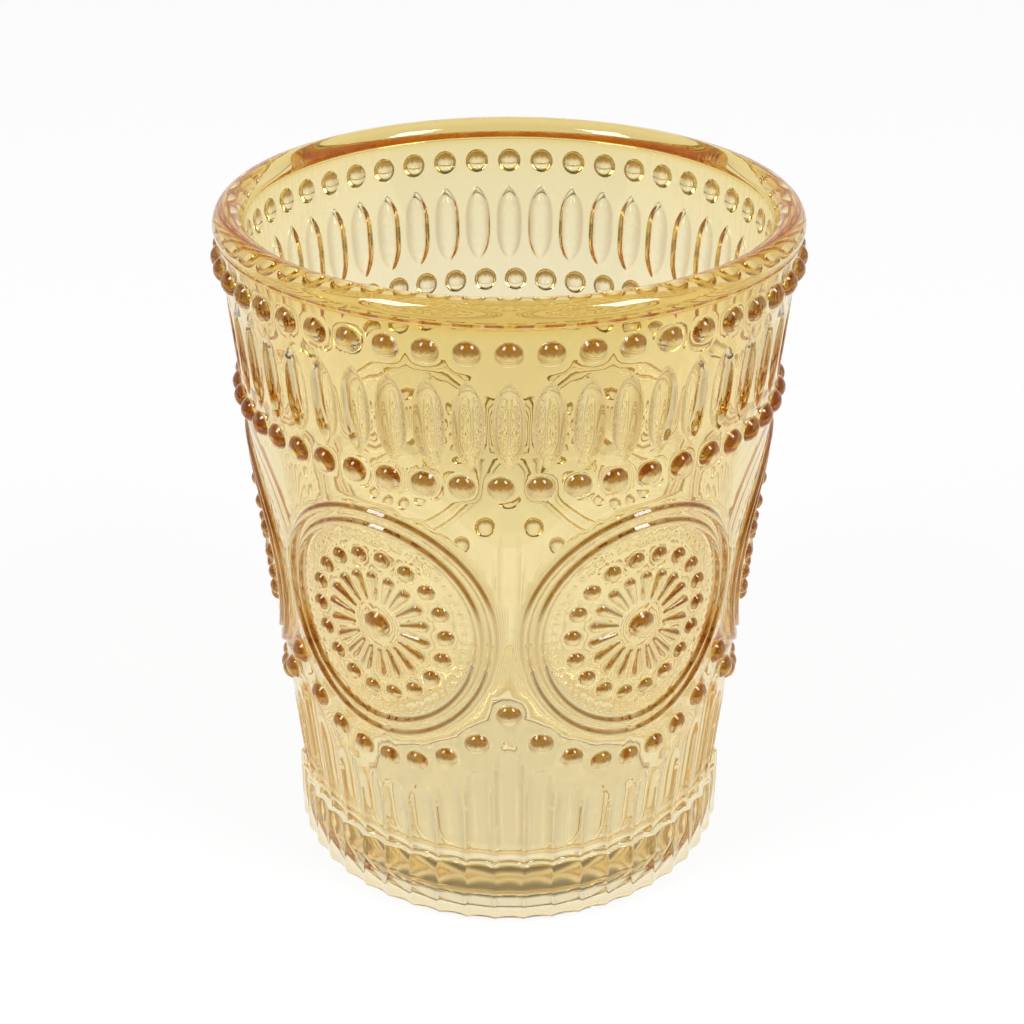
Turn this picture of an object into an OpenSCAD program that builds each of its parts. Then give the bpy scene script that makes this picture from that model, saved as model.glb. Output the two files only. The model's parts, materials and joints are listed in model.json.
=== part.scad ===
// Pressed glass tumbler: a tapering cup with bead rows, a band of leaf-shaped cuts,
// six round medallions over a swag of beads, and a fluted skirt and foot.
// Millimetres. The foot rests on the XY plane at the origin and +Z is up.
// The front, along -Y, is the gap between two medallions.

/* [Cup] */
// Full height from the table to the top of the rim
overall_h = 102.4; // [99:0.1:110]
// Outside radius of the rim at its widest
rim_r = 41.7; // [39:0.1:44]
// Thickness of the rounded rim
rim_t = 4.5; // [4:0.1:5]
// How far the rim stands out past the plain wall
rim_overhang = 0.3; // [0.1:0.05:0.5]
// Thickness of the wall
wall_t = 3.9; // [3.2:0.1:4]
// Thickness of the solid bottom
floor_t = 6.5; // [5:0.1:8]
// Radius of the rounded corner inside, between floor and wall
corner_r = 8; // [4:0.5:10]

/* [Foot] */
// Height of the fluted foot band above the table
foot_band_h = 10.9; // [9.5:0.1:12]
// Radius of the foot band at the edges between its flutes
foot_r = 33.5; // [32:0.1:34.5]
// How far the foot band stands out past the wall above it
foot_step = 0.8; // [0.5:0.1:1.5]
// Height of the rounded lower edge of the foot band
foot_edge_h = 2.4; // [1.5:0.1:3.5]
// Width of the rounded lower edge, seen from below
foot_edge_w = 3.1; // [2:0.1:4]
// Width of the flat ring that stands on the table
rest_ring_w = 5.4; // [4:0.1:8]
// Depth of the shallow hollow under the foot
recess_h = 1.5; // [0.6:0.1:2]
// Depth of a foot flute
foot_flute_depth = 0.8; // [0.4:0.05:1]
// Thickness of the fluted band behind its flutes
foot_skin_t = 1; // [0.8:0.1:1.5]

/* [Pattern around the cup] */
// Beads, leaves and flutes that share one medallion's width
steps_per_medallion = 8; // [7:1:9]
// Degrees that the lower bead row is turned against the upper one
lower_row_turn = -1.6; // [-3:0.1:3]
// Edge left between neighbouring flutes
flute_land = 0.3; // [0.2:0.05:0.5]
// Thickness left behind the deepest cut of a leaf or flute
cut_web = 0.2; // [0.15:0.05:0.4]

/* [Bead rows] */
// Distance of the upper bead row below the top of the rim
upper_row_drop = 7; // [6.6:0.1:7.4]
// Distance of the lower bead row below the top of the rim
lower_row_drop = 26.5; // [26:0.1:27.4]
// Radius of a bead where it meets the wall
bead_r = 1.85; // [1.5:0.05:2]
// How far a bead stands out
bead_rise = 1.1; // [0.8:0.05:1.4]

/* [Leaf band] */
// Distance of the middle of the leaves below the top of the rim
leaf_drop = 17.3; // [17.1:0.1:17.5]
// Length of a leaf-shaped cut
leaf_len = 13; // [11:0.1:13.4]
// Width of a leaf-shaped cut
leaf_w = 4.3; // [3:0.1:4.6]
// Depth of a leaf-shaped cut
leaf_depth = 0.85; // [0.5:0.05:1]
// Plain edge above and below the leaves
leaf_edge_w = 0.65; // [0.4:0.05:0.8]

/* [Medallions] */
// Share of the free height that lies above the medallions
gap_above_share = 0.195; // [0.15:0.005:0.23]
// Half height of the outer ridge, to the middle of the ridge
outer_ridge_r = 18.4; // [18:0.1:19]
// Half height of the inner ridge, to the middle of the ridge
inner_ridge_r = 16.2; // [15.7:0.1:16.6]
// Width of a ridge
ridge_w = 1.1; // [0.8:0.05:1.3]
// How far a ridge stands out
ridge_rise = 0.6; // [0.4:0.05:0.9]
// Width of a medallion as a share of its height
medallion_width_share = 0.93; // [0.85:0.01:0.98]
// Half height of the ring of fine dots
dot_ring_r = 14; // [13.6:0.1:14.3]
// Radius of a fine dot
dot_r = 0.36; // [0.3:0.01:0.4]
// Number of fine dots in a ring
dots = 54; // [48:1:60]
// Half height of the ring of beads
ring_bead_ring_r = 11.2; // [11:0.1:11.5]
// Number of beads and of petals in a medallion
ring_beads = 18; // [16:1:18]
// Radius of a ring bead where it meets the wall
ring_bead_r = 1.3; // [1:0.05:1.5]
// How far a ring bead stands out
ring_bead_rise = 0.8; // [0.6:0.05:1]
// Distance from the centre to a petal's round end
petal_outer_r = 8.9; // [8.6:0.1:9.2]
// Distance from the centre to a petal's narrow end
petal_inner_r = 4.4; // [4:0.1:5]
// Radius of a petal at its round end
petal_end_r = 0.95; // [0.8:0.05:1]
// Radius of a petal at its narrow end
petal_tip_r = 0.35; // [0.3:0.05:0.5]
// Radius of the centre bead where it meets the wall
hub_r = 2.1; // [1.6:0.1:2.4]
// How far the centre bead stands out
hub_rise = 1.2; // [0.9:0.05:1.4]

/* [Swag and skirt] */
// Distance of the swag beads from the medallion centre
swag_r = 23; // [22.6:0.1:23.2]
// Radius of a swag bead where it meets the wall
swag_bead_r = 1.7; // [1.4:0.05:1.8]
// How far a swag bead stands out
swag_bead_rise = 1; // [0.7:0.05:1.2]
// Distance from a swag bead down to the top of its skirt flute
skirt_drop = 4.4; // [4.2:0.1:5]
// Depth of a skirt flute
skirt_depth = 0.75; // [0.4:0.05:0.9]
// Height over which a flute runs out in its arch
skirt_run = 5.5; // [4:0.1:7]
// Plain edge over the highest flutes
skirt_edge_w = 0.6; // [0.4:0.05:1]

/* [Hidden] */
medallions = 6;
MEDALLION_NODES = [for (i = [1:medallions]) str("medallion_", i)];

$fn = 96;
// Steps round the small relief
fine_fn = 24;
// Depth that the flat back of a relief piece sinks into the curved wall
seat = 0.02;
glass_color = [0.93, 0.8, 0.5];
relief_color = [0.85, 0.64, 0.3];
// Overrun of cutting solids past the faces that they cut
overrun = 2;

// Pattern angles
steps = medallions * steps_per_medallion;
step_angle = 360 / steps;
medallion_angle = 360 / medallions;

// Foot, from its outer edges inwards
wall_foot_r = foot_r - foot_step;
foot_core_r = foot_r - foot_flute_depth - foot_skin_t;
foot_rest_r = foot_r - foot_edge_w;
recess_r = foot_rest_r - rest_ring_w;
edge_facet_angle = 30;

// Outside of the plain wall, a straight cone
rim_z = overall_h - rim_t / 2;
wall_top_z = overall_h - rim_t;
wall_rim_r = rim_r - rim_overhang;
wall_slope = (wall_rim_r - wall_foot_r) / (rim_z - foot_band_h);
wall_tilt = atan(wall_slope);
function wall_r(z) = wall_foot_r + (z - foot_band_h) * wall_slope;

// Inside of the wall
corner_z = floor_t + corner_r;
function inner_r(z) = wall_r(z) - wall_t;

// Heights of the rows that follow the rim
upper_row_z = overall_h - upper_row_drop;
lower_row_z = overall_h - lower_row_drop;
leaf_z = overall_h - leaf_drop;

// Medallions: the height left free between the bead row and the foot is shared out round them
relief_h = outer_ridge_r + ridge_w / 2 + swag_r + swag_bead_r;
free_h = lower_row_z - bead_r - foot_band_h - relief_h;
medallion_z = lower_row_z - bead_r - free_h * gap_above_share - ridge_w / 2 - outer_ridge_r;

// A shallow dome of base radius a and rise h is cut from a sphere of this radius
function dome_r(a, h) = (a * a + h * h) / (2 * h);

// Degrees around the wall at height z for a distance u along it
function turn(u, z) = u / wall_r(z) * 180 / PI;

// Swag bead height: the circle around the nearest medallion centre, at step k from it
function swag_z(k) =
    medallion_z - sqrt(pow(swag_r, 2) - pow(wall_r(medallion_z) * k * step_angle * PI / 180, 2));
function from_centre(i) = let (m = i % steps_per_medallion) min(m, steps_per_medallion - m);
swag_steps = [for (i = [0:steps - 1]) from_centre(i)];
swag_turn = medallion_angle / 2;

// Staves: flat plates side by side in a band turned into the wall, with their fronts on the cone
stave_gap = 0.02;
function half_stave(z, behind) = (wall_r(z) - behind) * tan(step_angle / 2);

// Leaf-shaped cuts, made by a round-edged wheel
leaf_low_z = leaf_z - leaf_len / 2 - leaf_edge_w;
leaf_high_z = leaf_z + leaf_len / 2 + leaf_edge_w;
leaf_sink = wall_r(leaf_high_z) * (1 / cos(step_angle / 2) - 1);
leaf_stave_t = leaf_sink + leaf_depth + cut_web;
leaf_wheel_r = dome_r(leaf_len / 2, leaf_depth);
leaf_groove_r = dome_r(leaf_w / 2, leaf_depth);

// Skirt flutes, round grooves that end in an arch below their swag bead
skirt_low_z = foot_band_h + stave_gap;
skirt_high_z = max([for (k = swag_steps) swag_z(k)]) - skirt_drop + skirt_edge_w;
skirt_sink = wall_r(skirt_high_z) * (1 / cos(step_angle / 2) - 1);
skirt_stave_t = skirt_sink + skirt_depth + cut_web;
skirt_groove_r = dome_r(half_stave(foot_band_h, 0) - flute_land / 2, skirt_depth);
skirt_run_angle = atan(skirt_depth / skirt_run);

// Foot flutes
foot_groove_r = dome_r(foot_r * tan(step_angle / 2) - flute_land / 2, foot_flute_depth);
foot_groove_place = foot_r - foot_flute_depth + foot_groove_r;

// Straight sides of a ridge's oval
ridge_sides = 48;

module solid_cone(extra, low, high) {
    rotate_extrude()
        polygon([
            [0, low],
            [wall_r(low) + extra, low],
            [wall_r(high) + extra, high],
            [0, high]
        ]);
}

// A point of the wall's section at height z, at a depth d square to the wall
function sunk(z, d) = [wall_r(z) - d * cos(wall_tilt), z + d * sin(wall_tilt)];

module cup_section() {
    skirt_bed = skirt_stave_t + stave_gap;
    leaf_bed = leaf_stave_t + stave_gap;
    polygon([
        [0, floor_t],
        [foot_core_r, floor_t],
        [foot_core_r, foot_band_h],
        [wall_foot_r - skirt_bed / cos(wall_tilt), foot_band_h],
        sunk(skirt_high_z + stave_gap, skirt_bed),
        sunk(skirt_high_z + stave_gap, 0),
        sunk(leaf_low_z - stave_gap, 0),
        sunk(leaf_low_z - stave_gap, leaf_bed),
        sunk(leaf_high_z + stave_gap, leaf_bed),
        sunk(leaf_high_z + stave_gap, 0),
        [wall_rim_r, rim_z],
        [0, rim_z]
    ]);
    translate([rim_r - rim_t / 2, rim_z])
        circle(d = rim_t);
}

module cavity_section() {
    polygon([
        [0, corner_z],
        [inner_r(corner_z), corner_z],
        [inner_r(rim_z), rim_z],
        [inner_r(rim_z), overall_h + overrun],
        [0, overall_h + overrun]
    ]);
    translate([inner_r(corner_z) - corner_r, corner_z])
        circle(r = corner_r);
    translate([0, floor_t])
        square([inner_r(corner_z) - corner_r, corner_r]);
}

module band(low, high) {
    translate([0, low])
        square([rim_r + overrun, high - low]);
}

// The foot's section, with its lower edge rounded in facets
module foot_section() {
    edge = [for (a = [90:-edge_facet_angle:0]) [
        foot_rest_r + foot_edge_w * cos(a),
        foot_edge_h * (1 - sin(a))
    ]];
    polygon(concat([[0, 0]], edge, [[foot_r, foot_band_h], [0, foot_band_h]]));
}

module base() {
    color(glass_color)
        difference() {
            rotate_extrude()
                intersection() {
                    foot_section();
                    square([foot_core_r, floor_t]);
                }
            translate([0, 0, -overrun])
                cylinder(r = recess_r, h = overrun + recess_h);
        }
}

module wall() {
    color(glass_color)
        rotate_extrude()
            difference() {
                intersection() {
                    cup_section();
                    band(floor_t, wall_top_z);
                }
                cavity_section();
            }
}

module rim_lip() {
    color(relief_color)
        rotate_extrude()
            difference() {
                intersection() {
                    cup_section();
                    band(wall_top_z, overall_h + overrun);
                }
                cavity_section();
            }
}

// Puts a child on the wall at the given turn and height: its +Z points out, its +Y points up
module on_wall(angle, z) {
    rotate([0, 0, angle])
        translate([0, -wall_r(z), z])
            rotate([90 + wall_tilt, 0, 0])
                children();
}

// Half of a dome's section: flat base of radius a on the X axis, rise h
module half_section(a, h) {
    intersection() {
        translate([0, h - dome_r(a, h)])
            circle(r = dome_r(a, h));
        square([dome_r(a, h), h]);
    }
}

module dome(a, h) {
    translate([0, 0, -seat])
        rotate_extrude($fn = fine_fn)
            half_section(a, h);
}

module bead_row(z, turned) {
    color(relief_color)
        for (i = [0:steps - 1])
            on_wall(i * step_angle + turned, z)
                dome(bead_r, bead_rise);
}

module upper_bead_row() {
    bead_row(upper_row_z, 0);
}

module lower_bead_row() {
    bead_row(lower_row_z, lower_row_turn);
}

// A flat stave from a low to a high place on the wall, its foot at the origin.
// It is as wide as its share of the wall at the given depth behind the wall's face.
module stave(low, high, t, sink, behind) {
    h = (high - low) / cos(wall_tilt);
    translate([0, 0, -t])
        linear_extrude(height = t - sink)
            polygon([
                [-half_stave(low, behind), 0],
                [half_stave(low, behind), 0],
                [half_stave(high, behind), h],
                [-half_stave(high, behind), h]
            ]);
}

module leaf_wheel() {
    rotate([0, 90, 0])
        rotate_extrude()
            translate([leaf_wheel_r - leaf_groove_r, 0])
                circle(r = leaf_groove_r);
}

module leaf_band() {
    middle = (leaf_high_z - leaf_low_z) / 2 / cos(wall_tilt);
    color(relief_color)
        for (i = [0:steps - 1])
            on_wall(i * step_angle, leaf_low_z)
                difference() {
                    stave(leaf_low_z, leaf_high_z, leaf_stave_t, leaf_sink, 0);
                    translate([0, middle, leaf_wheel_r - leaf_depth - leaf_sink])
                        leaf_wheel();
                }
}

// A medallion's polar place (r, a), with a from the vertical, as turn and height on the wall
function place_turn(r, a) = turn(r * medallion_width_share * sin(a), medallion_z);
function place_z(r, a) = medallion_z + r * cos(a);

// The same place seen square on from the medallion's centre
function seen(r, a) = [wall_r(medallion_z) * sin(place_turn(r, a)), r * cos(a)];

module seen_oval(r) {
    polygon([for (i = [0:ridge_sides - 1]) seen(r, i * 360 / ridge_sides)]);
}

// A raised oval line: an oval tube through the wall, kept between the wall and its rise
module ridge(r) {
    intersection() {
        on_wall(0, medallion_z)
            linear_extrude(height = outer_ridge_r, center = true)
                difference() {
                    seen_oval(r + ridge_w / 2);
                    seen_oval(r - ridge_w / 2);
                }
        difference() {
            solid_cone(ridge_rise, medallion_z - swag_r, medallion_z + swag_r);
            solid_cone(0, medallion_z - swag_r - overrun, medallion_z + swag_r + overrun);
        }
    }
}

module petal(a) {
    long_r = petal_outer_r - petal_end_r;
    mid_r = (petal_inner_r + long_r) / 2;
    on_wall(place_turn(mid_r, a), place_z(mid_r, a))
        rotate([0, 0, -a])
            intersection() {
                translate([0, petal_inner_r - mid_r, 0])
                    rotate([-90, 0, 0]) {
                        cylinder(
                            r1 = petal_tip_r,
                            r2 = petal_end_r,
                            h = long_r - petal_inner_r,
                            $fn = fine_fn
                        );
                        translate([0, 0, long_r - petal_inner_r])
                            sphere(r = petal_end_r, $fn = fine_fn);
                    }
                translate([-petal_outer_r, -petal_outer_r, -seat])
                    cube([petal_outer_r * 2, petal_outer_r * 2, petal_outer_r]);
            }
}

module ring_of_domes(count, r, shift, a, h) {
    for (i = [0:count - 1])
        on_wall(place_turn(r, (i + shift) * 360 / count), place_z(r, (i + shift) * 360 / count))
            dome(a, h);
}

module medallion(i) {
    color(relief_color)
        rotate([0, 0, (i - 0.5) * medallion_angle]) {
            ridge(outer_ridge_r);
            ridge(inner_ridge_r);
            ring_of_domes(dots, dot_ring_r, 0, dot_r, dot_r / 2);
            ring_of_domes(ring_beads, ring_bead_ring_r, 0.5, ring_bead_r, ring_bead_rise);
            for (k = [0:ring_beads - 1])
                petal(k * 360 / ring_beads);
            on_wall(0, medallion_z)
                dome(hub_r, hub_rise);
        }
}

module swag_beads() {
    color(relief_color)
        for (i = [0:steps - 1])
            on_wall(i * step_angle + swag_turn, swag_z(swag_steps[i]))
                dome(swag_bead_r, swag_bead_rise);
}

// A groove up the stave, then tilted outwards so that it runs out in an arch at height top
module skirt_groove(top) {
    bend = top - skirt_run;
    translate([0, 0, skirt_groove_r - skirt_depth - skirt_sink]) {
        translate([0, -overrun, 0])
            rotate([-90, 0, 0])
                cylinder(
                    r = skirt_groove_r,
                    h = overrun + bend + skirt_groove_r * sin(skirt_run_angle)
                );
        translate([0, bend, 0])
            rotate([skirt_run_angle - 90, 0, 0])
                cylinder(r = skirt_groove_r, h = skirt_run + overrun);
    }
}

module skirt_flutes() {
    behind = skirt_stave_t + stave_gap;
    color(relief_color)
        for (i = [0:steps - 1])
            on_wall(i * step_angle + swag_turn, skirt_low_z)
                difference() {
                    stave(skirt_low_z, skirt_high_z, skirt_stave_t, skirt_sink, behind);
                    skirt_groove((swag_z(swag_steps[i]) - skirt_drop - skirt_low_z) / cos(wall_tilt));
                }
}

module foot_flutes() {
    color(relief_color)
        intersection() {
            rotate_extrude()
                difference() {
                    foot_section();
                    square([foot_core_r, foot_band_h]);
                }
            linear_extrude(height = foot_band_h)
                difference() {
                    circle(r = foot_r + overrun);
                    for (i = [0:steps - 1])
                        rotate(i * step_angle + swag_turn)
                            translate([0, -foot_groove_place])
                                circle(r = foot_groove_r);
                }
        }
}

base();
wall();
rim_lip();
upper_bead_row();
leaf_band();
lower_bead_row();
for (i = [1:medallions]) medallion(i);
swag_beads();
skirt_flutes();
foot_flutes();
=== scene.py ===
"""Looks of a pressed amber glass tumbler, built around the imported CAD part.

The glass is one closed surface: the plain cup is bent from a flat pattern plan, in turns
around the cup and heights above the table, and the relief moves that surface in or out.
"""

import json
import math
from types import SimpleNamespace

import bmesh
import bpy
import numpy as np
from bpy.props import FloatProperty, FloatVectorProperty, IntProperty, PointerProperty
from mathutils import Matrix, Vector
from mathutils.geometry import delaunay_2d_cdt

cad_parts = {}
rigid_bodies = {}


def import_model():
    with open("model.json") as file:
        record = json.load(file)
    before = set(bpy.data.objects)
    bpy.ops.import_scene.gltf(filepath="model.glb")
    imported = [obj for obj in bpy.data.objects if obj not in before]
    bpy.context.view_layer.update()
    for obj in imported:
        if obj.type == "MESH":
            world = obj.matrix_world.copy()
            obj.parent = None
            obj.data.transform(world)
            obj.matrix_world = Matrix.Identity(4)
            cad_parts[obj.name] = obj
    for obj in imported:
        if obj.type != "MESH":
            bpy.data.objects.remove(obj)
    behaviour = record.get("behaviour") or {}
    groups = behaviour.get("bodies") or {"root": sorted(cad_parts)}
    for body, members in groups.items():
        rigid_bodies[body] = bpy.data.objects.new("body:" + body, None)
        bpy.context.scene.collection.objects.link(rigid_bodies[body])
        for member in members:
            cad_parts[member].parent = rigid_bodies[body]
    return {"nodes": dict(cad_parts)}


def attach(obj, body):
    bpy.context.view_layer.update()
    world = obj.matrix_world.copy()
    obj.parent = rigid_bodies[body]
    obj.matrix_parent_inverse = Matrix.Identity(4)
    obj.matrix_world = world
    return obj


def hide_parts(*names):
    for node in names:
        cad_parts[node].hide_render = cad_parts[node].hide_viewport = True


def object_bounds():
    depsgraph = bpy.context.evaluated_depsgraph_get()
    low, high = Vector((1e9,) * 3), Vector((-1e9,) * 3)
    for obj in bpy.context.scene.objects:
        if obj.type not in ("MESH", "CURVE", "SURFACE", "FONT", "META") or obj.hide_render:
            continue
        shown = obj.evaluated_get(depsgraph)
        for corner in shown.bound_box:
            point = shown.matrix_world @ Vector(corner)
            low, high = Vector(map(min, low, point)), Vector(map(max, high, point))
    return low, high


bl_info = {
    "name": "Pressed glass tumbler",
    "version": (1, 0, 0),
    "blender": (4, 5, 0),
    "location": "View3D > Sidebar > Tumbler",
    "description": "Builds a pressed glass tumbler with its relief, and a plain studio stage",
    "category": "Object",
}

for startup_object in list(bpy.data.objects):
    bpy.data.objects.remove(startup_object)

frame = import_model()
CAD_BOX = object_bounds()
BODY = "root"
GLASS_NODES = sorted(frame["nodes"])

MM = 0.001
FULL_TURN = 360.0
MEDALLIONS = 6
# Values stored on the points of the glass: its tint with painted shade, and where it is ground
TINT_AND_SHADE_ATTRIBUTE = "tint_and_painted_shade"
GROUND_ATTRIBUTE = "ground_underside"

# Places of the mesh columns within one step of the pattern, as shares of the step
COLUMN_SHARES = (-0.44, -0.34, -0.18, 0.0, 0.18, 0.34, 0.44, 0.5)
# Rings of points on a bead: share of its radius, and share of its full count of points
BEAD_RING_SHARES = ((0.24, 0.3), (0.45, 0.55), (0.64, 0.75), (0.8, 0.9), (0.92, 1.0))
# Points round a bead of a row, a medallion's ring, its hub and a fine dot
ROW_BEAD_POINTS, RING_BEAD_POINTS, HUB_POINTS, DOT_POINTS = 22, 16, 26, 8
# Rings of points on a leaf: share of its size, and count of points
LEAF_RINGS = ((0.3, 12), (0.55, 18), (0.75, 24), (0.9, 30), (1.0, 36), (1.04, 36))
# How full a leaf stays towards its pointed ends
LEAF_ROUNDNESS = 3.2
# Lines of points along a ridge, as shares of its half width, and the gap between points
RIDGE_LINES = (-1.45, -1.0, -0.6, 0, 0.6, 1.0, 1.45)
RIDGE_POINT_GAP = 0.95
# Lines of points along a petal and round its ends, as shares of its radius there
PETAL_LINES = (-1.15, -1, -0.75, -0.4, 0, 0.4, 0.75, 1, 1.15)
PETAL_END_RINGS = (0.45, 0.8, 1.0, 1.18)
PETAL_END_DEGREES = (-60, -30, 0, 30, 60)
# Points down a skirt flute's arch, as shares of its run-out
ARCH_SHARES = (0.02, 0.1, 0.2, 0.32, 0.46, 0.6, 0.76, 0.9)
# Rings of loose points in a medallion's plain parts
PLAIN_RING_RADII = (3.3, 9.9, 12.8, 15.0)
# Room that the pattern zones leave round their relief, in millimetres
ROW_MARGIN, LOW_ROW_MARGIN, LEAF_TOP_MARGIN, LEAF_LOW_MARGIN = 0.45, 0.75, 0.75, 0.4
FOOT_MARGIN = 0.35
# The smallest rings that close the floor and the underside, as a share of their radius
MIDDLE_SHARE = 0.08

# The camera, as fitted to the photo: its frame and shifts in pixels, lengths in metres
FRAME_PIXELS = 1024
FOCAL_PIXELS = 2032
SHIFT_PIXELS = (2.8, 10.6)
SENSOR_WIDTH = 36
CAMERA_DISTANCE = 0.31
CAMERA_PITCH = math.radians(27.43)
CAMERA_AIM_Z = 0.05068

# The stage, in metres
FLOOR_SIZE = (1.2, 1.12)
FLOOR_CENTRE = (0, 0.44, 0)
LAMP_SIZE = (0.35, 0.5)
LAMP_PLACES = {"lamp_left": (-0.7, -0.55, 0.9), "lamp_right": (0.7, -0.55, 0.9)}
LAMP_TARGET = (0, 0, 0.05)
LIGHT_BOUNCES = 32


def length(name, description, default, low=0.0, high=0.2):
    """A property for a length, in metres, from a default in millimetres."""
    return FloatProperty(
        name=name,
        description=description,
        default=default * MM,
        min=low,
        max=high,
        unit="LENGTH",
        precision=5,
    )


def tint(name, description, default):
    """A property for the share of red, green and blue light let through."""
    return FloatVectorProperty(
        name=name,
        description=description,
        default=default,
        subtype="COLOR",
        size=3,
        min=0,
        max=1,
    )


class TumblerCupSizes(bpy.types.PropertyGroup):
    """Sizes of the plain cup under the relief."""

    overall_h: length("Height", "From the table to the top of the rim", CAD_BOX[1][2] / MM)
    rim_r: length("Rim radius", "Outside radius of the rim at its widest", 41.7)
    rim_t: length("Rim thickness", "Thickness of the rounded rim", 4.5)
    rim_overhang: length("Rim overhang", "How far the rim stands past the wall", 0.3)
    wall_foot_r: length("Wall radius at the foot", "Where the wall meets the foot band", 32.7)
    wall_t: length("Wall thickness", "Thickness of the wall", 3.9)
    floor_t: length("Bottom thickness", "Height of the inside floor", 6.5)
    corner_r: length("Inside corner", "Radius between floor and wall", 8.0)
    foot_band_h: length("Foot band height", "Top of the fluted foot band", 10.9)
    foot_edge_h: length("Foot edge height", "Height of the rounded lower edge", 2.4)
    foot_r: length("Foot radius", "Radius at the sharp edges between the foot flutes", 33.5)
    foot_rest_r: length("Resting radius", "Outside radius of the ring that stands", 30.4)
    recess_r: length("Hollow radius", "Radius of the hollow under the foot", 25.0)
    recess_h: length("Hollow depth", "Depth of the hollow under the foot", 1.5)


class TumblerPatternSizes(bpy.types.PropertyGroup):
    """Sizes of the relief."""

    steps: IntProperty(
        name="Steps", description="Beads, leaves and flutes per medallion", default=8, min=6
    )
    lower_row_turn: FloatProperty(
        name="Lower row turn",
        description="How far the lower bead row is turned",
        default=math.radians(-1.6),
        subtype="ANGLE",
    )
    upper_row_drop: length("Upper row drop", "Upper bead row below the rim top", 7.0)
    lower_row_drop: length("Lower row drop", "Lower bead row below the rim top", 26.5)
    bead_r: length("Bead radius", "Radius of a row bead at the wall", 1.85)
    bead_rise: length("Bead rise", "How far a row bead stands out", 1.3)
    leaf_drop: length("Leaf drop", "Middle of the leaves below the rim top", 17.3)
    leaf_len: length("Leaf length", "Length of a leaf-shaped cut", 13.0)
    leaf_w: length("Leaf width", "Width of a leaf-shaped cut", 4.3)
    leaf_depth: length("Leaf depth", "Depth of a leaf-shaped cut", 1.05)
    medallion_z: length("Medallion height", "Medallion centres above the table", 51.3)
    outer_ridge_r: length("Outer ridge", "Half height of the outer ridge", 18.4)
    inner_ridge_r: length("Inner ridge", "Half height of the inner ridge", 16.2)
    ridge_w: length("Ridge width", "Width of a ridge", 1.1)
    ridge_rise: length("Ridge rise", "How far a ridge stands out", 0.6)
    medallion_share: FloatProperty(
        name="Medallion width", description="Width as a share of height", default=0.93
    )
    dot_ring_r: length("Dot ring", "Half height of the ring of fine dots", 14.0)
    dot_r: length("Dot radius", "Radius of a fine dot", 0.36)
    dots: IntProperty(name="Dots", description="Fine dots in a ring", default=54, min=12)
    ring_bead_ring_r: length("Bead ring", "Half height of the ring of beads", 11.2)
    ring_beads: IntProperty(
        name="Petals", description="Beads and petals in a medallion", default=18, min=6
    )
    ring_bead_r: length("Ring bead radius", "Radius of a ring bead", 1.3)
    ring_bead_rise: length("Ring bead rise", "How far a ring bead stands out", 0.9)
    petal_outer_r: length("Petal outer end", "From the centre to a petal's round end", 8.9)
    petal_inner_r: length("Petal inner end", "From the centre to a petal's narrow end", 4.4)
    petal_end_r: length("Petal end radius", "Radius of a petal's round end", 0.95)
    petal_tip_r: length("Petal tip radius", "Radius of a petal's narrow end", 0.4)
    petal_rise: length("Petal rise", "How far a petal stands out", 0.7)
    hub_r: length("Hub radius", "Radius of the centre bead", 2.1)
    hub_rise: length("Hub rise", "How far the centre bead stands out", 1.2)
    swag_r: length("Swag radius", "Swag beads from the medallion centre", 23.0)
    swag_bead_r: length("Swag bead radius", "Radius of a swag bead", 1.7)
    swag_bead_rise: length("Swag bead rise", "How far a swag bead stands out", 1.2)
    gap_bead_r: length("Gap bead radius", "Radius of the beads in the gap", 1.85)
    skirt_drop: length("Skirt drop", "From a swag bead down to its flute", 4.4)
    skirt_depth: length("Skirt flute depth", "Depth of a skirt flute", 0.75)
    skirt_run: length("Skirt flute run-out", "Height of a flute's pointed arch", 5.5)
    foot_depth: length("Foot flute depth", "Depth of a foot flute", 0.55)
    soft_edge: length("Edge softness", "Rounding where the relief meets the wall", 0.14)


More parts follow.
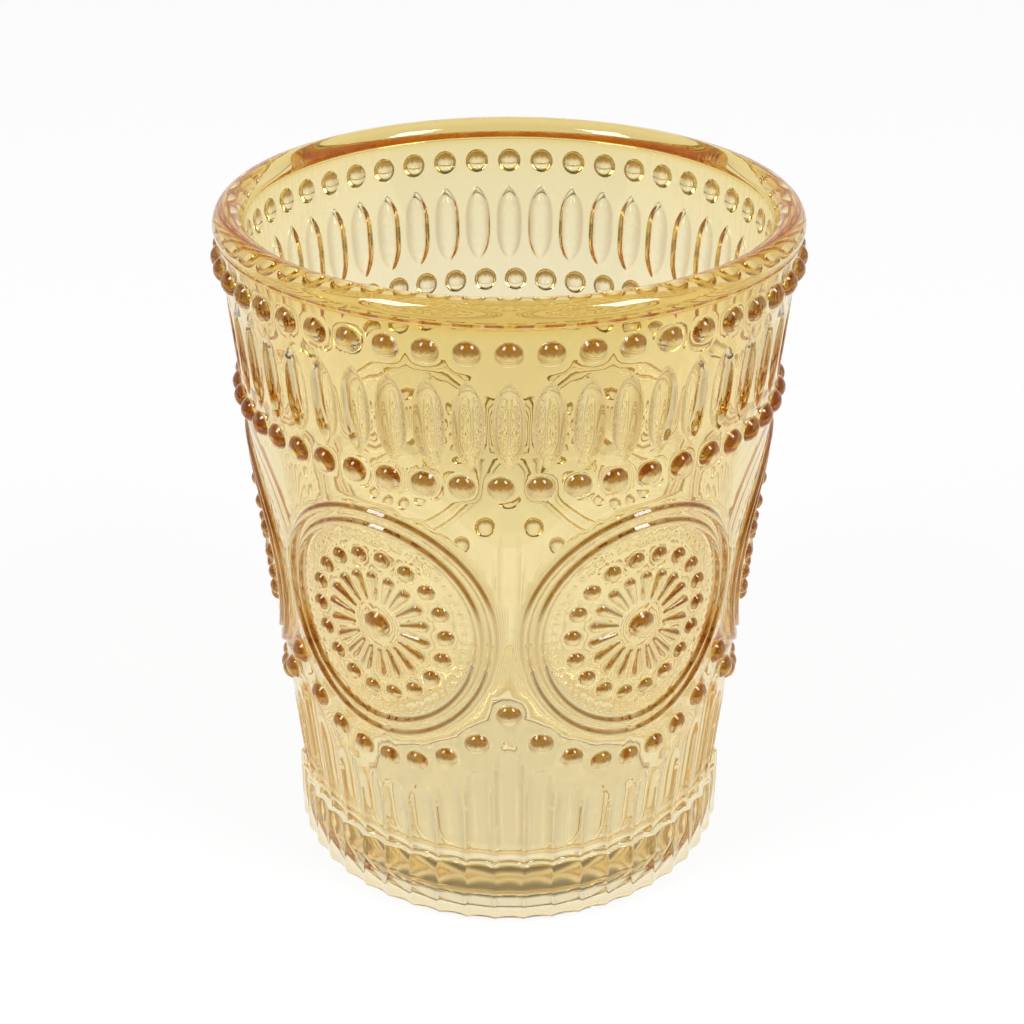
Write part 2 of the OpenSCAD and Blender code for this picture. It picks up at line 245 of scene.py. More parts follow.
class TumblerLook(bpy.types.PropertyGroup):
    """Finish and colours of the glass, painted shade on its relief and lip, and the stage."""

    glass_tint: tint("Glass tint", "Through any surface of the glass", (0.98, 0.93, 0.75))
    depth_tint: tint("Depth tint", "What long paths in the glass turn to", (0.945, 0.825, 0.42))
    # Painted shade: a dark brown put on the relief's upper sides, standing in for the dark that
    # refraction shows there
    painted_shade_tint: tint("Relief tint", "Through the relief's upper sides", (0.22, 0.08, 0.005))
    lip_tint: tint("Lip tint", "Further tint of the thick rim lip", (0.98, 0.87, 0.52))
    foot_tint: tint("Foot tint", "Further tint of the foot band", (0.985, 0.93, 0.78))
    foot_edge_tint: tint("Foot edge tint", "Further tint of its rounded edge", (0.9, 0.76, 0.5))
    # Painted shade: a share of the dark relief colour put on the sides of the rim lip
    lip_shade_share: FloatProperty(
        name="Lip sides", description="Share of the relief tint on the lip", default=0.18, max=1
    )
    # Painted shade: a share of the dark relief colour put on steep flanks that face round the cup
    edge_shade_share: FloatProperty(
        name="Edge tint", description="Share of the relief tint on steep edges", default=0.45, max=1
    )
    depth_density: FloatProperty(
        name="Depth density", description="How fast the colour deepens", default=95.0, min=0
    )
    base_density: FloatProperty(
        name="Base density", description="The same for the thick base", default=22.0, min=0
    )
    base_low: length("Base fade start", "Where the base's density starts to rise", 5.0)
    base_high: length("Base fade end", "Where the wall's density is reached", 12.0)
    lamp_power: FloatProperty(
        name="Lamp power", description="Power of each soft lamp", default=9.0, min=0, unit="POWER"
    )
    sky: FloatProperty(
        name="Surrounding light", description="Brightness of the white wall", default=1.0, min=0
    )
    sky_top: FloatProperty(
        name="Ceiling", description="Ceiling as a share of the wall", default=0.1, min=0, max=1
    )
    sky_front: FloatProperty(
        name="Front", description="Room behind the viewer, as a share", default=0.45, min=0, max=1
    )
    sky_low: FloatProperty(
        name="Under the table", description="Below the table, as a share", default=0.1, min=0
    )
    floor_glow: FloatProperty(
        name="Floor white", description="Plain white in the floor, as seen", default=0.9, max=1
    )
    floor_glow_behind: FloatProperty(
        name="Floor behind glass",
        description="Plain white in the floor, as seen in and through glass",
        default=0.75,
        max=1,
    )
    floor_strength: FloatProperty(
        name="Floor strength", description="Brightness of that plain white", default=1.01, min=0
    )
    underside_roughness: FloatProperty(
        name="Underside", description="Roughness of the ground underside", default=0.08, max=1
    )


def in_millimetres(group):
    """The property group's values as plain numbers, lengths in millimetres."""
    values = {}
    for key in type(group).__annotations__:
        value = getattr(group, key)
        unit = group.bl_rna.properties[key].unit
        values[key] = value / MM if unit == "LENGTH" else value
    return SimpleNamespace(**values)


class Plan:
    """The cup's sizes together, and the plain cup's radius at a height."""

    def __init__(self, scene):
        self.cup = in_millimetres(scene.tumbler_cup)
        self.pattern = in_millimetres(scene.tumbler_pattern)
        c, p = self.cup, self.pattern
        self.step = FULL_TURN / (MEDALLIONS * p.steps)
        self.rim_z = c.overall_h - c.rim_t / 2
        self.slope = (c.rim_r - c.rim_overhang - c.wall_foot_r) / (self.rim_z - c.foot_band_h)
        self.tilt = math.atan(self.slope)
        self.upper_z = c.overall_h - p.upper_row_drop
        self.leaf_z = c.overall_h - p.leaf_drop
        self.lower_z = c.overall_h - p.lower_row_drop

    def wall_r(self, z):
        return self.cup.wall_foot_r + (z - self.cup.foot_band_h) * self.slope

    def inner_r(self, z):
        return self.wall_r(z) - self.cup.wall_t

    def across(self, turn, z):
        """Millimetres along the wall at height z for an angle in degrees."""
        return np.radians(turn) * self.wall_r(z)

    def turn(self, along, z):
        """Degrees for millimetres along the wall at height z."""
        return math.degrees(along / self.wall_r(z))

    def swag_z(self, index):
        """Height of the swag bead at a step, counted from the front gap."""
        p = self.pattern
        k = (index - p.steps // 2) % p.steps
        k = min(k, p.steps - k)
        along = self.wall_r(p.medallion_z) * math.radians(k * self.step)
        return p.medallion_z - math.sqrt(p.swag_r**2 - along**2)

    def columns(self, first, last):
        """Turns of the mesh columns between two turns."""
        turns = []
        for i in range(math.floor(first / self.step) - 1, math.ceil(last / self.step) + 2):
            turns += [round((i + share) * self.step, 6) for share in COLUMN_SHARES]
        return [t for t in turns if first - 1e-4 <= t <= last + 1e-4]


def soft_max(height, softness):
    """The larger of height and zero, with a rounded corner between them."""
    t = np.clip(1 - np.abs(height) / softness, 0, 1)
    return np.maximum(height, 0) + softness * t * t / 4


def dome_height(distance, radius, rise, softness):
    """Height of a shallow dome over the wall at a distance from its middle."""
    ball = (radius**2 + rise**2) / (2 * rise)
    inside = np.sqrt(np.maximum(ball**2 - distance**2, 1e-9)) - (ball - rise)
    fall = radius / max(ball - rise, 0.1)
    height = np.where(distance < radius, inside, fall * (radius - distance))
    return soft_max(height, softness)


class Cell:
    """One repeated part of the pattern plan, with its points and its relief."""

    def __init__(self, plan):
        self.plan = plan
        self.points, self.edges, self.loose, self.raised, self.cuts = [], [], [], [], []

    def ring(self, turn, z, radius, count, wide=1.0):
        """A closed ring of points round a place, wide times as wide as high."""
        start = len(self.points)
        for i in range(count):
            a = 2 * math.pi * i / count
            along = radius * wide * math.sin(a)
            self.points.append((turn + self.plan.turn(along, z), z + radius * math.cos(a)))
        self.edges += [(start + i, start + (i + 1) % count) for i in range(count)]

    def line(self, points):
        """An open line of points."""
        start = len(self.points)
        self.points += points
        self.edges += [(start + i, start + i + 1) for i in range(len(points) - 1)]

    def bead(self, turn, z, radius, rise, count, softness):
        """A round bead, with rings of points that follow it."""
        plan = self.plan

        def height(t, h):
            return dome_height(np.hypot(plan.across(t - turn, z), h - z), radius, rise, softness)

        self.raised.append(height)
        self.loose.append((turn, z))
        for share, points_share in BEAD_RING_SHARES:
            self.ring(turn, z, radius * share, max(6, round(count * points_share)))
        edge = softness / 3
        for offset in (-edge / 2, edge / 2, edge * 2):
            self.ring(turn, z, radius + offset, count)

    def leaf(self, turn, z):
        """A leaf-shaped hollow with pointed ends."""
        p, plan = self.plan.pattern, self.plan

        def depth(t, h):
            u = plan.across(t - turn, z) / (p.leaf_w / 2)
            v = (h - z) / (p.leaf_len / 2)
            width = np.maximum(1 - np.abs(v) ** LEAF_ROUNDNESS, 0.05)
            groove = np.where(np.abs(v) < 1, width - u * u / width, -1)
            return soft_max(p.leaf_depth * groove, p.soft_edge / 4)

        self.cuts.append(depth)
        self.loose.append((turn, z))
        for share, count in LEAF_RINGS:
            start = len(self.points)
            for i in range(count):
                a = 2 * math.pi * i / count
                width = 1 - abs(math.cos(a)) ** LEAF_ROUNDNESS
                along = math.copysign(p.leaf_w / 2 * share * width, math.sin(a))
                up = p.leaf_len / 2 * share * math.cos(a)
                self.points.append((turn + plan.turn(along, z), z + up))
            self.edges += [(start + i, start + (i + 1) % count) for i in range(count)]

    def oval_ridge(self, turn, z, radius):
        """A raised oval line round a medallion."""
        p, plan = self.plan.pattern, self.plan

        def height(t, h):
            x, y = plan.across(t - turn, z) / p.medallion_share, h - z
            from_centre = np.maximum(np.hypot(x, y), 1e-9)
            narrowed = np.hypot(x * p.medallion_share, y) / from_centre
            away = np.abs(from_centre - radius) * narrowed
            return dome_height(away, p.ridge_w / 2, p.ridge_rise, p.soft_edge)

        self.raised.append(height)
        half = p.ridge_w / 2
        count = round(2 * math.pi * radius / RIDGE_POINT_GAP)
        for offset in RIDGE_LINES:
            self.ring(turn, z, radius + offset * half, count, p.medallion_share)

    def petal(self, turn, z, angle):
        """A drop-shaped petal that points at the medallion's centre."""
        p, plan = self.plan.pattern, self.plan
        far = p.petal_outer_r - p.petal_end_r
        near = p.petal_inner_r
        sine, cosine = math.sin(angle), math.cos(angle)

        def height(t, h):
            x, y = plan.across(t - turn, z) / p.medallion_share, h - z
            along, aside = x * sine + y * cosine, x * cosine - y * sine
            s = np.clip((along - near) / (far - near), 0, 1)
            radius = p.petal_tip_r + (p.petal_end_r - p.petal_tip_r) * s
            away = np.hypot(aside, along - (near + (far - near) * s)) / radius
            crown = np.sqrt(np.maximum(1 - away**2, 0)) * radius * p.petal_rise / p.petal_end_r
            return soft_max(np.where(away < 1, crown, (1 - away) * radius * 2), p.soft_edge / 2)

        def place(along, aside):
            x, y = along * sine + aside * cosine, along * cosine - aside * sine
            return (turn + plan.turn(x * p.medallion_share, z), z + y)

        self.raised.append(height)
        for side in PETAL_LINES:
            line = []
            for s in np.linspace(0, 1, 5):
                radius = p.petal_tip_r + (p.petal_end_r - p.petal_tip_r) * s
                line.append(place(near + (far - near) * s, side * radius))
            self.line(line)
        for end, radius, way in ((far, p.petal_end_r, 1), (near, p.petal_tip_r, -1)):
            for share in PETAL_END_RINGS:
                for degrees in PETAL_END_DEGREES:
                    a = math.radians(degrees)
                    reach = radius * share
                    self.loose.append(
                        place(end + way * reach * math.cos(a), reach * math.sin(a))
                    )

    def fill(self, side, width, low, high):
        """Triangles between a side line and the same line one width further round."""
        points, edges = list(self.points), list(self.edges)
        side_turns = np.array([t for t, _ in side])
        side_heights = np.array([z for _, z in side])
        for turn, z in self.loose:
            left = float(np.interp(z, side_heights, side_turns))
            if left + 0.3 < turn < left + width - 0.3 and low + 0.2 < z < high - 0.2:
                points.append((turn, z))
        lines = [side, [(t + width, z) for t, z in side]]
        for z, first in ((low, side[0][0]), (high, side[-1][0])):
            lines.append([(t, z) for t in self.plan.columns(first, first + width)])
        for line in lines:
            start = len(points)
            points += line
            edges += [(start + i, start + i + 1) for i in range(len(line) - 1)]
        scale = math.radians(self.plan.wall_r((low + high) / 2))
        flat = [Vector((t * scale, z)) for t, z in points]
        places, _, faces, *_ = delaunay_2d_cdt(flat, edges, [], 0, 1e-4, False)
        places = np.array([(v[0] / scale, v[1]) for v in places])
        faces = np.array(faces)
        corners = places[faces]
        middle = corners.mean(axis=1)
        left = np.interp(middle[:, 1], side_heights, side_turns)
        one, two = corners[:, 1] - corners[:, 0], corners[:, 2] - corners[:, 0]
        area = np.abs(one[:, 0] * two[:, 1] - one[:, 1] * two[:, 0])
        kept = (middle[:, 0] > left) & (middle[:, 0] < left + width) & (area > 1e-6)
        return self.on_cup(places), faces[kept]

    def heights(self, turns, zs):
        """How far the relief moves the wall out, or in where it is negative."""
        up, down = np.zeros(len(turns)), np.zeros(len(turns))
        for height in self.raised:
            up = np.maximum(up, height(turns, zs))
        for depth in self.cuts:
            down = np.maximum(down, depth(turns, zs))
        return up - down

    def on_cup(self, places):
        """Places as (turn in radians, radius, height), moved in or out by the relief."""
        h = self.heights(places[:, 0], places[:, 1])
        radius = self.plan.wall_r(places[:, 1]) + h * math.cos(self.plan.tilt)
        z = places[:, 1] - h * math.sin(self.plan.tilt)
        return np.column_stack([np.radians(places[:, 0]), radius, z])


class Surface:
    """Points and triangles of the whole glass, gathered part by part."""

    def __init__(self):
        self.points, self.faces, self.count = [], [], 0

    def add(self, places, faces, turned=0.0):
        """Adds places (turn, radius, height) and their triangles, turned round the cup."""
        a = places[:, 0] + math.radians(turned)
        radius = places[:, 1]
        xyz = np.column_stack([radius * np.sin(a), -radius * np.cos(a), places[:, 2]])
        self.points.append(xyz)
        self.faces.append(np.asarray(faces) + self.count)
        self.count += len(xyz)

    def add_rows(self, turns, rows):
        """A net between rows, each a radius and a height, plain or one for each column."""
        n = len(turns)
        angles = np.radians(turns)
        one = np.ones(n)
        places = [np.column_stack([angles, one * radius, one * z]) for radius, z in rows]
        faces = []
        for j in range(len(rows) - 1):
            for i in range(n - 1):
                a, c = j * n + i, (j + 1) * n + i
                faces += [(a, a + 1, c + 1), (a, c + 1, c)]
        self.add(np.vstack(places), faces)

    def add_middle(self, turns, radius, z):
        """A fan that closes a flat middle."""
        n = len(turns)
        ring = np.column_stack([np.radians(turns), np.full(n, radius), np.full(n, z)])
        places = np.vstack([ring, [[0, 0, z]]])
        self.add(places, [(i, i + 1, n) for i in range(n - 1)])

    def to_mesh(self, name):
        """One closed mesh of all parts, with their shared borders joined."""
        mesh = bpy.data.meshes.new(name)
        points, faces = np.vstack(self.points) * MM, np.vstack(self.faces)
        mesh.from_pydata(points.tolist(), [], faces.tolist())
        shape = bmesh.new()
        shape.from_mesh(mesh)
        bmesh.ops.remove_doubles(shape, verts=shape.verts[:], dist=0.008 * MM)
        bmesh.ops.dissolve_degenerate(shape, dist=0.0005 * MM, edges=shape.edges[:])
        bmesh.ops.recalc_face_normals(shape, faces=shape.faces[:])
        broken = [e for e in shape.edges if len(e.link_faces) != 2]
        shape.to_mesh(mesh)
        shape.free()
        if broken:
            raise RuntimeError(f"the glass isn't closed: {len(broken)} open edges")
        mesh.shade_smooth()
        return mesh


def straight_side(turn, low, high, count):
    """Points up a straight side line at one turn."""
    return [(turn, float(z)) for z in np.linspace(low, high, count)]


def skirt_depth(plan):
    """The cut of the skirt flutes, as a function of turn and height."""
    p = plan.pattern

    def depth(t, h):
        cut = np.zeros(len(t))
        half = plan.across(plan.step / 2, h)
        for index in (np.floor(t / plan.step), np.floor(t / plan.step) + 1):
            top = np.array([plan.swag_z(int(i)) - p.skirt_drop for i in index])
            u = plan.across(t - index * plan.step, h) / half
            left = 1 - np.clip((top - h) / p.skirt_run, 0, 1)
            groove = np.where(h < top, 1 - left**2 - u**2, -1)
            cut = np.maximum(cut, soft_max(p.skirt_depth * groove, p.soft_edge / 5))
        return cut

    return depth


def medallion_cell(plan, centre):
    """Medallion relief: ridges, dots, ring beads, petals and hub."""
    p = plan.pattern
    cell = Cell(plan)
    z = p.medallion_z
    for radius in (p.outer_ridge_r, p.inner_ridge_r):
        cell.oval_ridge(centre, z, radius)

    def around(radius, share):
        a = 2 * math.pi * share
        along = radius * p.medallion_share * math.sin(a)
        return centre + plan.turn(along, z), z + radius * math.cos(a)

    for i in range(p.dots):
        t, h = around(p.dot_ring_r, i / p.dots)
        cell.raised.append(
            lambda turns, heights, t=t, h=h: dome_height(
                np.hypot(plan.across(turns - t, h), heights - h), p.dot_r, p.dot_r / 2, 0.06
            )
        )
        cell.loose.append((t, h))
        for share in (1.0, 1.3):
            cell.ring(t, h, p.dot_r * share, DOT_POINTS)
    for i in range(p.ring_beads):
        t, h = around(p.ring_bead_ring_r, (i + 0.5) / p.ring_beads)
        cell.bead(t, h, p.ring_bead_r, p.ring_bead_rise, RING_BEAD_POINTS, p.soft_edge * 0.8)
        cell.petal(centre, z, 2 * math.pi * i / p.ring_beads)
    cell.bead(centre, z, p.hub_r, p.hub_rise, HUB_POINTS, p.soft_edge)
    return cell


def add_pattern_bands(plan, surface):
    """The two bead rows and the leaf band between them. Returns their outer heights."""
    p = plan.pattern
    top = plan.upper_z + p.bead_r + ROW_MARGIN
    leaf_top = plan.leaf_z + p.leaf_len / 2 + LEAF_TOP_MARGIN
    leaf_low = plan.leaf_z - p.leaf_len / 2 - LEAF_LOW_MARGIN
    low = plan.lower_z - p.bead_r - LOW_ROW_MARGIN
    half = plan.step / 2
    steps = MEDALLIONS * p.steps
    upper, leaves, lower = Cell(plan), Cell(plan), Cell(plan)
    row_bead = (p.bead_r, p.bead_rise, ROW_BEAD_POINTS, p.soft_edge)
    upper.bead(0, plan.upper_z, *row_bead)
    leaves.leaf(0, plan.leaf_z)
    lower.bead(math.degrees(p.lower_row_turn), plan.lower_z, *row_bead)
    # The lower row is turned, so its cells end on a mesh column between its own beads
    turned_side = (COLUMN_SHARES[1] - 0.32) * plan.step
    turned_side = plan.columns(turned_side - 1, turned_side + 1)[0]
    for cell, side, below, above, count in (
        (upper, -half, leaf_top, top, 8),
        (leaves, -half, leaf_low, leaf_top, 20),
        (lower, turned_side, low, leaf_low, 8),
    ):
        places, faces = cell.fill(straight_side(side, below, above, count), plan.step, below, above)
        for i in range(steps):
            surface.add(places, faces, i * plan.step)
    return low, top


def flute_points(plan, low):
    """Points for the skirt flutes and along their pointed arches."""
    p = plan.pattern
    for i in range(p.steps):
        top = plan.swag_z(i) - p.skirt_drop
        for share in COLUMN_SHARES:
            for z in np.arange(low + 1.6, top + 0.3, 1.1):
                yield (i + share) * plan.step, float(z)
        for down in ARCH_SHARES:
            z = top - p.skirt_run * down
            wide = math.sqrt(1 - (1 - down) ** 2) * plan.step / 2
            for side in (-1, 1):
                yield i * plan.step + side * wide, z


def plain_wall_points(plan, width, low, high):
    """Points in the wall above the flutes, where there is no relief."""
    p = plan.pattern
    for z in np.arange(low + 20, high - 0.5, 1.5):
        for turn in np.arange(0.8, width - 0.5, 2.1):
            along = plan.across(turn - width / 2, p.medallion_z)
            up = z - p.medallion_z
            in_medallion = math.hypot(along / p.medallion_share, up) < p.outer_ridge_r + 1.4
            in_swag = up < 0 and math.hypot(along, up) < p.swag_r + 2.4
            in_gap = min(turn, width - turn) < 4 and z < plan.swag_z(0) + 3.5
            if not (in_medallion or in_swag or in_gap):
                yield float(turn), float(z)


def plain_ring_points(plan, centre):
    """Points in the plain rings of a medallion."""
    p = plan.pattern
    for radius in PLAIN_RING_RADII:
        count = int(radius * 4)
        for i in range(count):
            a = 2 * math.pi * i / count
            along = radius * p.medallion_share * math.sin(a)
            yield centre + plan.turn(along, p.medallion_z), p.medallion_z + radius * math.cos(a)


def add_medallion_zone(plan, surface, low, high):
    """Medallions, swag beads and skirt flutes, one cell for each medallion."""
    p = plan.pattern
    width = FULL_TURN / MEDALLIONS
    centre = width / 2
    half = plan.step / 2
    cell = medallion_cell(plan, centre)
    for i in range(p.steps):
        near_gap = min(i, p.steps - i) <= 1
        radius = p.gap_bead_r if near_gap else p.swag_bead_r
        rise = p.swag_bead_rise * radius / p.swag_bead_r
        cell.bead(i * plan.step, plan.swag_z(i), radius, rise, ROW_BEAD_POINTS, p.soft_edge)
    cell.cuts.append(skirt_depth(plan))
    cell.loose += flute_points(plan, low)
    cell.loose += plain_wall_points(plan, width, low, high)
    cell.loose += plain_ring_points(plan, centre)
    # The side runs between two flutes up to the gap bead, and then through the gap's middle
    bend = plan.swag_z(0) + p.gap_bead_r + 1.2
    side = straight_side(-half, low, bend - 0.02, 30) + [(-half / 2, bend - 0.01), (0.0, bend)]
    side += straight_side(0.0, bend, high, 20)[1:]
    places, faces = cell.fill(side, width, low, high)
    for i in range(MEDALLIONS):
        surface.add(places, faces, i * width)


def add_rim_and_inside(plan, surface, turns, low):
    """The lip over the pattern, the smooth inside wall and the floor."""
    c = plan.cup
    round_r = c.rim_t / 2
    round_centre = c.rim_r - round_r
    rows = [(plan.wall_r(z), z) for z in (low, low + 1.0, low + 1.9)]
    for a in np.linspace(-25, 180, 17):
        a = math.radians(a)
        rows.append((round_centre + round_r * math.cos(a), plan.rim_z + round_r * math.sin(a)))
    corner_z = c.floor_t + c.corner_r
    for z in np.linspace(plan.rim_z - 1.2, corner_z, 4):
        rows.append((plan.inner_r(z), z))
    flat_r = plan.inner_r(corner_z) - c.corner_r
    for a in np.linspace(0, -90, 11)[1:]:
        a = math.radians(a)
        rows.append((flat_r + c.corner_r * math.cos(a), corner_z + c.corner_r * math.sin(a)))
    for share in (0.5, MIDDLE_SHARE):
        rows.append((flat_r * share, c.floor_t))
    surface.add_rows(turns, rows)
    surface.add_middle(turns, flat_r * MIDDLE_SHARE, c.floor_t)


def add_foot(plan, surface, turns, high):
    """The fluted foot band, its rounded edge and the underside."""
    c, p = plan.cup, plan.pattern
    turns = np.array(turns)
    flute = Cell(plan)
    flute.cuts.append(skirt_depth(plan))
    start = flute.on_cup(np.column_stack([turns, np.full(len(turns), high)]))
    u = (turns / plan.step - np.round(turns / plan.step)) * 2
    hollow = p.foot_depth * (1 - u**2)
    rows = [(start[:, 1], start[:, 2]), (start[:, 1], c.foot_band_h + 0.1)]
    for inset, z in ((0.35, 0.0), (0.1, -0.08), (0.0, -0.3)):
        rows.append((c.foot_r - inset - hollow, c.foot_band_h + z))
    for share in (0.8, 0.55, 0.3, 0.1, 0):
        z = c.foot_edge_h + (c.foot_band_h - 0.3 - c.foot_edge_h) * share
        rows.append((c.foot_r - hollow, z))
    for a in np.linspace(0, 90, 9)[1:]:
        out = math.cos(math.radians(a))
        radius = c.foot_rest_r + (c.foot_r - c.foot_rest_r) * out - hollow * out
        rows.append((radius, c.foot_edge_h * (1 - math.sin(math.radians(a)))))
    rows += [(c.recess_r + 2.2, 0.0), (c.recess_r + 0.9, 0.0)]
    for out, up in ((0.5, 0.1), (0.0, 0.4), (-0.5, 0.75), (-1.4, 0.95), (-2.6, 1.0)):
        rows.append((c.recess_r + out, c.recess_h * up))
    inner = c.recess_r - 2.6
    for share in (0.5, MIDDLE_SHARE):
        rows.append((inner * share, c.recess_h))
    surface.add_rows(turns, rows)
    surface.add_middle(turns, inner * MIDDLE_SHARE, c.recess_h)


def glass_material(name, look):
    """Clear pressed glass with a faint ripple, coloured through its depth.

    One material covers the whole closed surface, so that light leaves the colour it entered.
    """
    material = bpy.data.materials.new(name)
    material.use_nodes = True
    tree = material.node_tree
    shader = tree.nodes["Principled BSDF"]
    shader.inputs["Transmission Weight"].default_value = 1
    shader.inputs["IOR"].default_value = 1.5
    # The stored surface colour holds the glass's tint and the painted shade on the relief and the
    # lip's sides
    tint_and_painted_shade = tree.nodes.new("ShaderNodeAttribute")
    tint_and_painted_shade.attribute_name = TINT_AND_SHADE_ATTRIBUTE
    tree.links.new(tint_and_painted_shade.outputs["Vector"], shader.inputs["Base Color"])
    ground = tree.nodes.new("ShaderNodeAttribute")
    ground.attribute_name = GROUND_ATTRIBUTE
    roughness = tree.nodes.new("ShaderNodeMapRange")
    roughness.inputs["To Max"].default_value = look.underside_roughness
    tree.links.new(ground.outputs["Fac"], roughness.inputs["Value"])
    tree.links.new(roughness.outputs["Result"], shader.inputs["Roughness"])
    absorption = tree.nodes.new("ShaderNodeVolumeAbsorption")
    absorption.inputs["Color"].default_value = (*look.depth_tint, 1)
    coordinates = tree.nodes.new("ShaderNodeTexCoord")
    height = tree.nodes.new("ShaderNodeSeparateXYZ")
    density = tree.nodes.new("ShaderNodeMapRange")
    density.inputs["From Min"].default_value = look.base_low
    density.inputs["From Max"].default_value = look.base_high
    density.inputs["To Min"].default_value = look.base_density
    density.inputs["To Max"].default_value = look.depth_density
    tree.links.new(coordinates.outputs["Object"], height.inputs[0])
    tree.links.new(height.outputs["Z"], density.inputs["Value"])
    tree.links.new(density.outputs["Result"], absorption.inputs["Density"])
    output = tree.nodes["Material Output"]
    tree.links.new(absorption.outputs["Volume"], output.inputs["Volume"])
    ripple = tree.nodes.new("ShaderNodeTexNoise")
    ripple.inputs["Scale"].default_value = 90
    ripple.inputs["Detail"].default_value = 1
    bump = tree.nodes.new("ShaderNodeBump")
    bump.inputs["Strength"].default_value = 0.05
    bump.inputs["Distance"].default_value = 0.5 * MM
    tree.links.new(coordinates.outputs["Object"], ripple.inputs["Vector"])
    tree.links.new(ripple.outputs["Fac"], bump.inputs["Height"])
    tree.links.new(bump.outputs["Normal"], shader.inputs["Normal"])
    return material


def smooth_step(low, high, values):
    """0 below low, 1 above high, and a smooth rise between them."""
    t = np.clip((values - low) / (high - low), 0, 1)
    return t * t * (3 - 2 * t)


def blend(colours, further, share):
    """Colours with a further tint, as far as the share at each point says."""
    share = share[:, None]
    return colours * (1 - share + np.array(further) * share)


def mark_tints_shade_and_ground(plan, look, mesh):
    """Stores the tint of the surface, deeper on the lip and the foot, with painted shade on the
    relief and the lip's sides, and where it is ground.

    Lengths are in millimetres. The parts of a normal, up and steep, run from 0 to 1.
    """
    c = plan.cup
    count = len(mesh.vertices)
    places, normals = np.empty(count * 3), np.empty(count * 3)
    mesh.vertices.foreach_get("co", places)
    mesh.vertex_normals.foreach_get("vector", normals)
    x, y, z = (places.reshape(count, 3) / MM).T
    normal_x, normal_y, up = normals.reshape(count, 3).T
    radius = np.hypot(x, y)
    steep = np.abs(x * normal_y - y * normal_x) / np.maximum(radius, 1)
    bead_top = plan.upper_z + plan.pattern.bead_r

    outside = (radius > plan.wall_r(z) - 2) & (z < bead_top + 0.4)
    raised = smooth_step(0.02, 0.14, radius - plan.wall_r(z))
    # Painted shade: the relief's upper sides are tinted dark brown, standing in for the dark that
    # refraction shows there
    shade_on_upper_sides = smooth_step(-0.03, 0.16, up) * raised * (z > c.foot_band_h + 1)
    # Painted shade on steep flanks that face round the cup, standing in for dark lines from internal
    # reflection
    shade_on_steep_edges = look.edge_shade_share * smooth_step(0.25, 0.6, steep) * (z > c.foot_edge_h)
    # Painted shade on the lip's sides, standing in for the dark brown that refraction shows on the
    # thick lip
    shade_on_lip_sides = smooth_step(bead_top + 1.6, bead_top + 2.6, z) * smooth_step(0.1, 0.4, 1 - up)
    painted_shade = np.maximum(shade_on_upper_sides, shade_on_steep_edges) * outside
    painted_shade = np.maximum(painted_shade, look.lip_shade_share * shade_on_lip_sides)[:, None]
    tints_and_shade = np.array(look.glass_tint) * (1 - painted_shade) + np.array(look.painted_shade_tint) * painted_shade

    lip = smooth_step(bead_top + 0.2, bead_top + 1.6, z)
    foot = ((z < c.foot_band_h) & (radius > c.foot_rest_r - 0.5)).astype(float)
    foot_edge = foot * (1 - smooth_step(c.foot_edge_h, c.foot_edge_h + 1.5, z))
    tints_and_shade = blend(tints_and_shade, look.lip_tint, lip)
    tints_and_shade = blend(tints_and_shade, look.foot_tint, foot)
    tints_and_shade = blend(tints_and_shade, look.foot_edge_tint, foot_edge)

    ground = (z < c.recess_h + 0.3) & (radius < c.foot_rest_r + 0.4) & (up < -0.5)
    stored = mesh.attributes.new(TINT_AND_SHADE_ATTRIBUTE, "FLOAT_VECTOR", "POINT")
    stored.data.foreach_set("vector", tints_and_shade.ravel())
    stored = mesh.attributes.new(GROUND_ATTRIBUTE, "FLOAT", "POINT")
    stored.data.foreach_set("value", ground.astype(float))


class TUMBLER_OT_glass(bpy.types.Operator):
    """Build the tumbler's glass with all its relief"""

    bl_idname = "tumbler.glass"
    bl_label = "Glass tumbler"

    def execute(self, context):
        plan = Plan(context.scene)
        look = context.scene.tumbler_look
        surface = Surface()
        turns = plan.columns(-plan.step / 2, FULL_TURN - plan.step / 2)
        low, top = add_pattern_bands(plan, surface)
        foot_top = plan.cup.foot_band_h + FOOT_MARGIN
        add_medallion_zone(plan, surface, foot_top, low)
        add_rim_and_inside(plan, surface, turns, top)
        add_foot(plan, surface, turns, foot_top)
        mesh = surface.to_mesh("glass_tumbler")
        glass = bpy.data.objects.new("glass_tumbler", mesh)
        context.scene.collection.objects.link(glass)
        mesh.materials.append(glass_material("amber_glass", look))
        mark_tints_shade_and_ground(plan, look, mesh)
        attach(glass, BODY)
        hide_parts(*GLASS_NODES)
        return {"FINISHED"}


def soft_lamp(scene, name, place, size, power, target):
    """A rectangular soft lamp that faces a target."""
    light = bpy.data.lights.new(name, "AREA")
    light.shape = "RECTANGLE"
    light.size, light.size_y = size
    light.energy = power
    lamp = bpy.data.objects.new(name, light)
    lamp.location = place
    lamp.rotation_euler = (Vector(target) - Vector(place)).to_track_quat("-Z", "Y").to_euler()
    scene.collection.objects.link(lamp)


